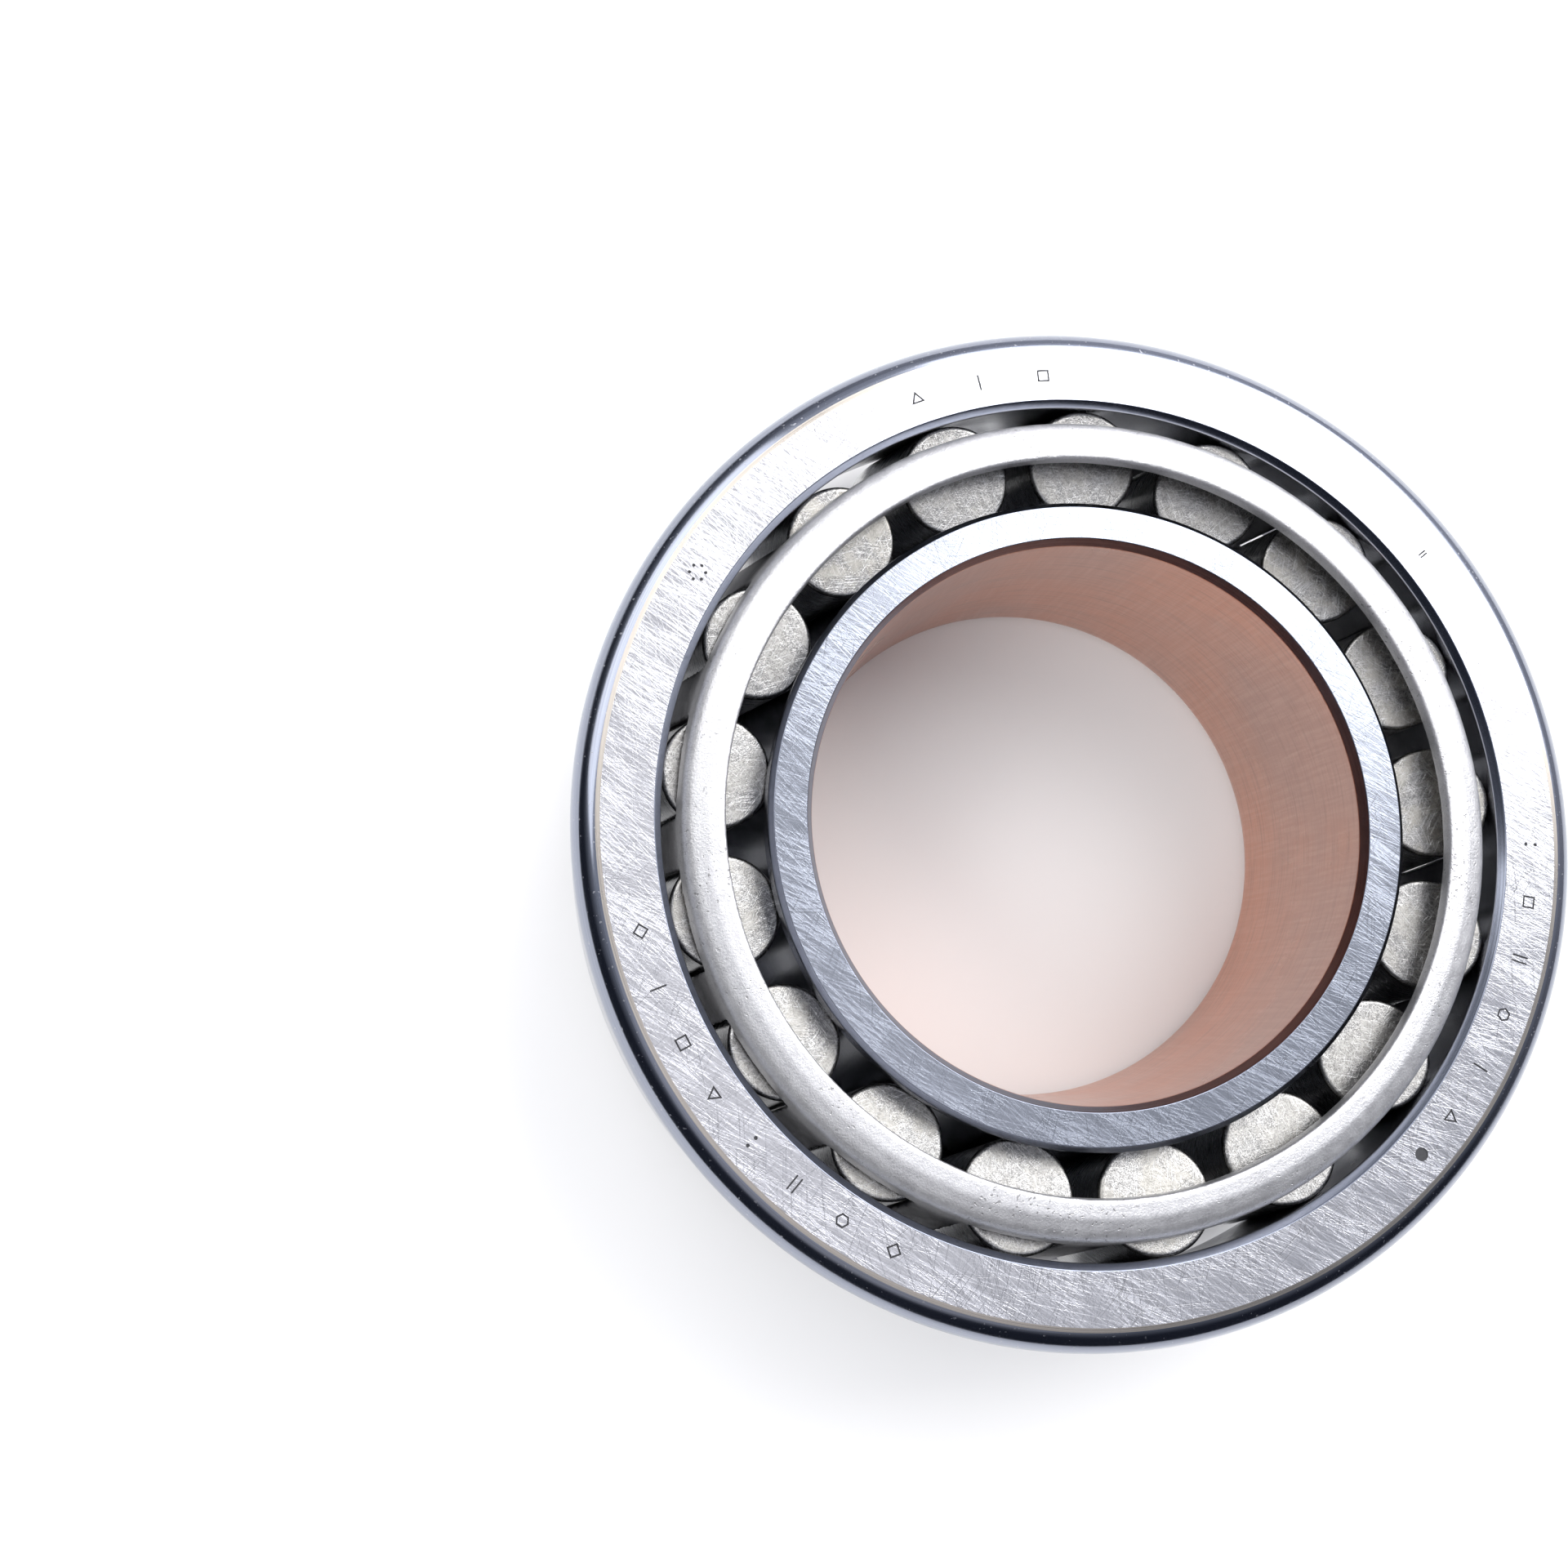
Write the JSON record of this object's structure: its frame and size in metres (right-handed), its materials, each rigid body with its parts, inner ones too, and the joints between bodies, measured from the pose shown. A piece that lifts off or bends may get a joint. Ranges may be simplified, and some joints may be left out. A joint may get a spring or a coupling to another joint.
{
  "type": "tapered roller bearing",
  "caption": "Separable tapered roller bearing: inner ring with ribs, outer ring, pressed steel cage and a full row of tapered rollers whose surfaces share one apex.",
  "frame": {"origin": "centre of the cone's back face, on which the bearing stands", "axes": "+Z along the bearing axis, towards the small ends of the rollers and the back face of the cup; +X is 4 degrees short of the first roller"},
  "size_m": [0.1222, 0.1222, 0.0399],
  "materials": {
    "cone_steel": "ground bearing steel, bright, with crossing grinding marks on the faces",
    "cup_steel": "ground bearing steel, bright, with crossing grinding marks on the faces and a polished outside",
    "cage_steel": "pressed steel sheet, matt blasted grey",
    "roller_steel": "ground bearing steel with tumbled, speckled ends"
  },
  "bodies": {
    "cone": {"cone": "cone_steel"},
    "cup": {"cup": "cup_steel"},
    "cage": {"cage": "cage_steel"},
    "roller_01": {"roller_01": "roller_steel"},
    "roller_02": {"roller_02": "roller_steel"},
    "roller_03": {"roller_03": "roller_steel"},
    "roller_04": {"roller_04": "roller_steel"},
    "roller_05": {"roller_05": "roller_steel"},
    "roller_06": {"roller_06": "roller_steel"},
    "roller_07": {"roller_07": "roller_steel"},
    "roller_08": {"roller_08": "roller_steel"},
    "roller_09": {"roller_09": "roller_steel"},
    "roller_10": {"roller_10": "roller_steel"},
    "roller_11": {"roller_11": "roller_steel"},
    "roller_12": {"roller_12": "roller_steel"},
    "roller_13": {"roller_13": "roller_steel"},
    "roller_14": {"roller_14": "roller_steel"},
    "roller_15": {"roller_15": "roller_steel"},
    "roller_16": {"roller_16": "roller_steel"},
    "roller_17": {"roller_17": "roller_steel"}
  },
  "joints": [
    {"name": "cup_spin", "type": "hinge", "parent": "cone", "child": "cup", "pos_m": [0, 0, 0.0222], "axis": [0, 0, 1], "continuous": true},
    {"name": "cage_spin", "type": "hinge", "parent": "cone", "child": "cage", "pos_m": [0, 0, 0.0222], "axis": [0, 0, 1], "continuous": true},
    {"name": "roller_01_spin", "type": "hinge", "parent": "cage", "child": "roller_01", "pos_m": [0.04701, 0.00329, 0.02107], "axis": [-0.1906, -0.0133, 0.9816], "continuous": true},
    {"name": "roller_02_spin", "type": "hinge", "parent": "cage", "child": "roller_02", "pos_m": [0.04265, 0.02005, 0.02107], "axis": [-0.1729, -0.0813, 0.9816], "continuous": true},
    {"name": "roller_03_spin", "type": "hinge", "parent": "cage", "child": "roller_03", "pos_m": [0.03253, 0.0341, 0.02107], "axis": [-0.1319, -0.1383, 0.9816], "continuous": true},
    {"name": "roller_04_spin", "type": "hinge", "parent": "cage", "child": "roller_04", "pos_m": [0.01801, 0.04355, 0.02107], "axis": [-0.073, -0.1766, 0.9816], "continuous": true},
    {"name": "roller_05_spin", "type": "hinge", "parent": "cage", "child": "roller_05", "pos_m": [0.00106, 0.04711, 0.02107], "axis": [-0.0043, -0.191, 0.9816], "continuous": true},
    {"name": "roller_06_spin", "type": "hinge", "parent": "cage", "child": "roller_06", "pos_m": [-0.01603, 0.04432, 0.02107], "axis": [0.065, -0.1797, 0.9816], "continuous": true},
    {"name": "roller_07_spin", "type": "hinge", "parent": "cage", "child": "roller_07", "pos_m": [-0.03095, 0.03553, 0.02107], "axis": [0.1255, -0.1441, 0.9816], "continuous": true},
    {"name": "roller_08_spin", "type": "hinge", "parent": "cage", "child": "roller_08", "pos_m": [-0.0417, 0.02195, 0.02107], "axis": [0.1691, -0.089, 0.9816], "continuous": true},
    {"name": "roller_09_spin", "type": "hinge", "parent": "cage", "child": "roller_09", "pos_m": [-0.04682, 0.00541, 0.02107], "axis": [0.1898, -0.0219, 0.9816], "continuous": true},
    {"name": "roller_10_spin", "type": "hinge", "parent": "cage", "child": "roller_10", "pos_m": [-0.04561, -0.01187, 0.02107], "axis": [0.1849, 0.0481, 0.9816], "continuous": true},
    {"name": "roller_11_spin", "type": "hinge", "parent": "cage", "child": "roller_11", "pos_m": [-0.03824, -0.02754, 0.02107], "axis": [0.155, 0.1117, 0.9816], "continuous": true},
    {"name": "roller_12_spin", "type": "hinge", "parent": "cage", "child": "roller_12", "pos_m": [-0.02571, -0.0395, 0.02107], "axis": [0.1042, 0.1601, 0.9816], "continuous": true},
    {"name": "roller_13_spin", "type": "hinge", "parent": "cage", "child": "roller_13", "pos_m": [-0.0097, -0.04612, 0.02107], "axis": [0.0393, 0.187, 0.9816], "continuous": true},
    {"name": "roller_14_spin", "type": "hinge", "parent": "cage", "child": "roller_14", "pos_m": [0.00761, -0.04651, 0.02107], "axis": [-0.0309, 0.1886, 0.9816], "continuous": true},
    {"name": "roller_15_spin", "type": "hinge", "parent": "cage", "child": "roller_15", "pos_m": [0.0239, -0.04062, 0.02107], "axis": [-0.0969, 0.1647, 0.9816], "continuous": true},
    {"name": "roller_16_spin", "type": "hinge", "parent": "cage", "child": "roller_16", "pos_m": [0.03696, -0.02924, 0.02107], "axis": [-0.1498, 0.1186, 0.9816], "continuous": true},
    {"name": "roller_17_spin", "type": "hinge", "parent": "cage", "child": "roller_17", "pos_m": [0.04502, -0.01392, 0.02107], "axis": [-0.1825, 0.0564, 0.9816], "continuous": true}
  ],
  "couplings": [
    {"joint": "cage_spin", "follows": "cup_spin", "ratio": 0.57396},
    {"joint": "roller_01_spin", "follows": "cup_spin", "ratio": 3.2453},
    {"joint": "roller_02_spin", "follows": "cup_spin", "ratio": 3.2453},
    {"joint": "roller_03_spin", "follows": "cup_spin", "ratio": 3.2453},
    {"joint": "roller_04_spin", "follows": "cup_spin", "ratio": 3.2453},
    {"joint": "roller_05_spin", "follows": "cup_spin", "ratio": 3.2453},
    {"joint": "roller_06_spin", "follows": "cup_spin", "ratio": 3.2453},
    {"joint": "roller_07_spin", "follows": "cup_spin", "ratio": 3.2453},
    {"joint": "roller_08_spin", "follows": "cup_spin", "ratio": 3.2453},
    {"joint": "roller_09_spin", "follows": "cup_spin", "ratio": 3.2453},
    {"joint": "roller_10_spin", "follows": "cup_spin", "ratio": 3.2453},
    {"joint": "roller_11_spin", "follows": "cup_spin", "ratio": 3.2453},
    {"joint": "roller_12_spin", "follows": "cup_spin", "ratio": 3.2453},
    {"joint": "roller_13_spin", "follows": "cup_spin", "ratio": 3.2453},
    {"joint": "roller_14_spin", "follows": "cup_spin", "ratio": 3.2453},
    {"joint": "roller_15_spin", "follows": "cup_spin", "ratio": 3.2453},
    {"joint": "roller_16_spin", "follows": "cup_spin", "ratio": 3.2453},
    {"joint": "roller_17_spin", "follows": "cup_spin", "ratio": 3.2453}
  ]
}
